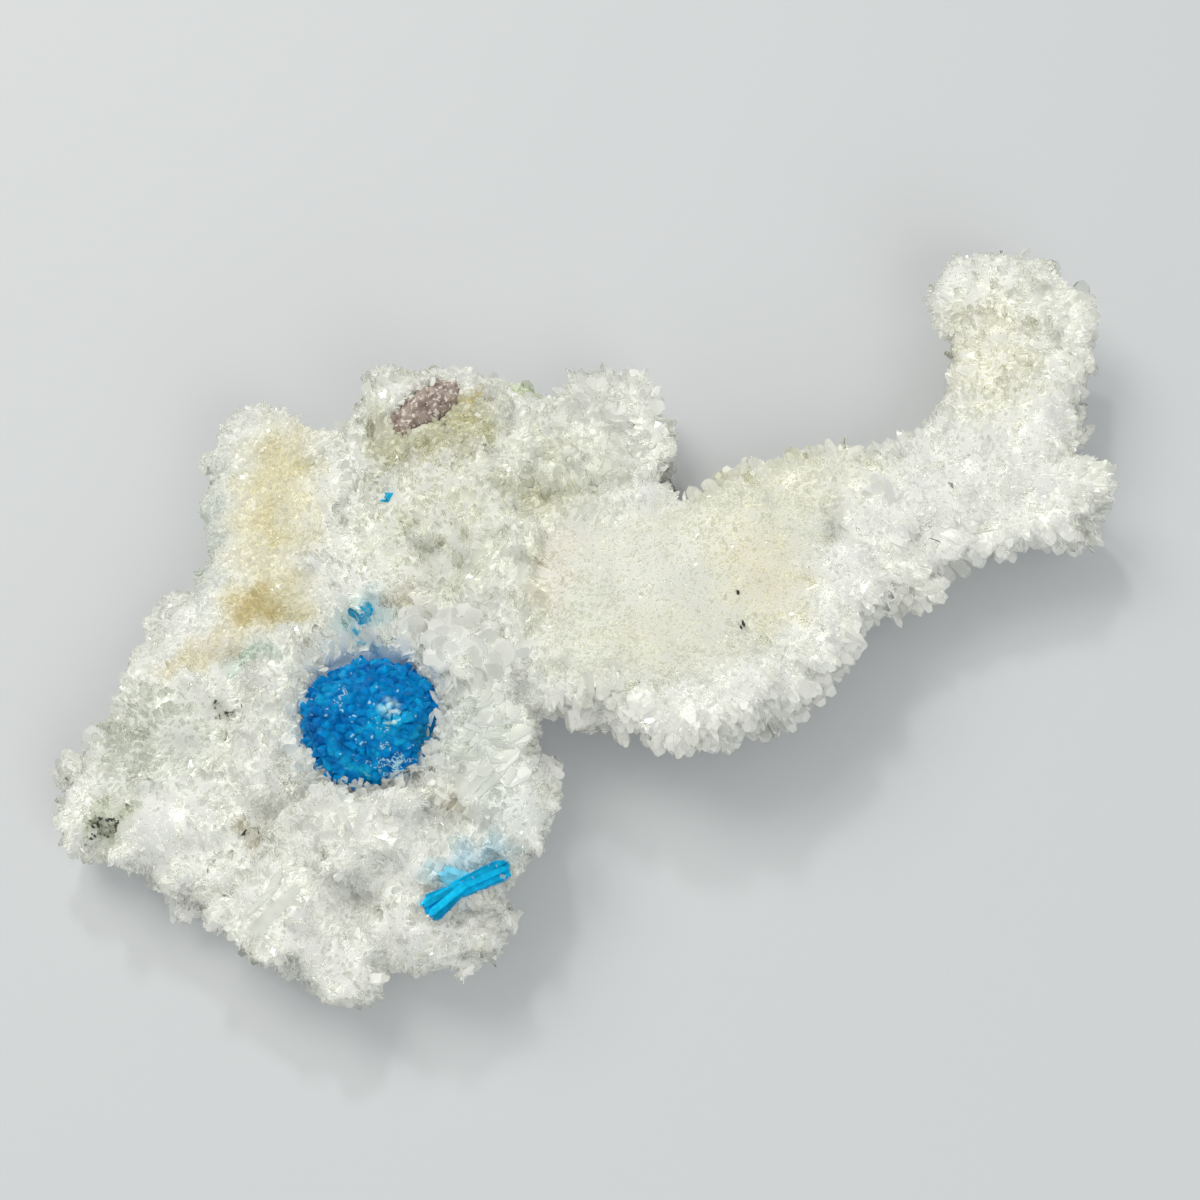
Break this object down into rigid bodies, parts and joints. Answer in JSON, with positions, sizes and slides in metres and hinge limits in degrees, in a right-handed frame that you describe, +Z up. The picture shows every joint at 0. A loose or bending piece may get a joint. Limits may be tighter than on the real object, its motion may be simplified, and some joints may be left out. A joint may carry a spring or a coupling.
{
  "type": "cavansite on stilbite mineral specimen",
  "caption": "A curved crust of white stilbite crystals that rests on a broken flat base, with a round blue cavansite rosette, a small blue sheaf, blue flecks and a chip of brown host rock.",
  "frame": {"origin": "the middle of the bottom of the whole specimen's box, on the table", "axes": "+X runs along the specimen's length towards the arm's end, +Y away from the camera across it, +Z up"},
  "size_m": [0.0854, 0.067, 0.0136],
  "materials": {
    "stilbite": "glassy to frosted crystal faces, colourless to cream white, translucent",
    "host_rock": "dull, granular, brown-purple with white specks",
    "cavansite": "glassy prism tips, azure blue"
  },
  "bodies": {
    "root": {"stilbite_body": "stilbite", "stilbite_arm": "stilbite", "matrix_rock": "host_rock", "cavansite_ball": "cavansite", "cavansite_sheaf": "cavansite", "cavansite_fleck_1": "cavansite", "cavansite_fleck_2": "cavansite", "cavansite_fleck_3": "cavansite"}
  },
  "joints": []
}
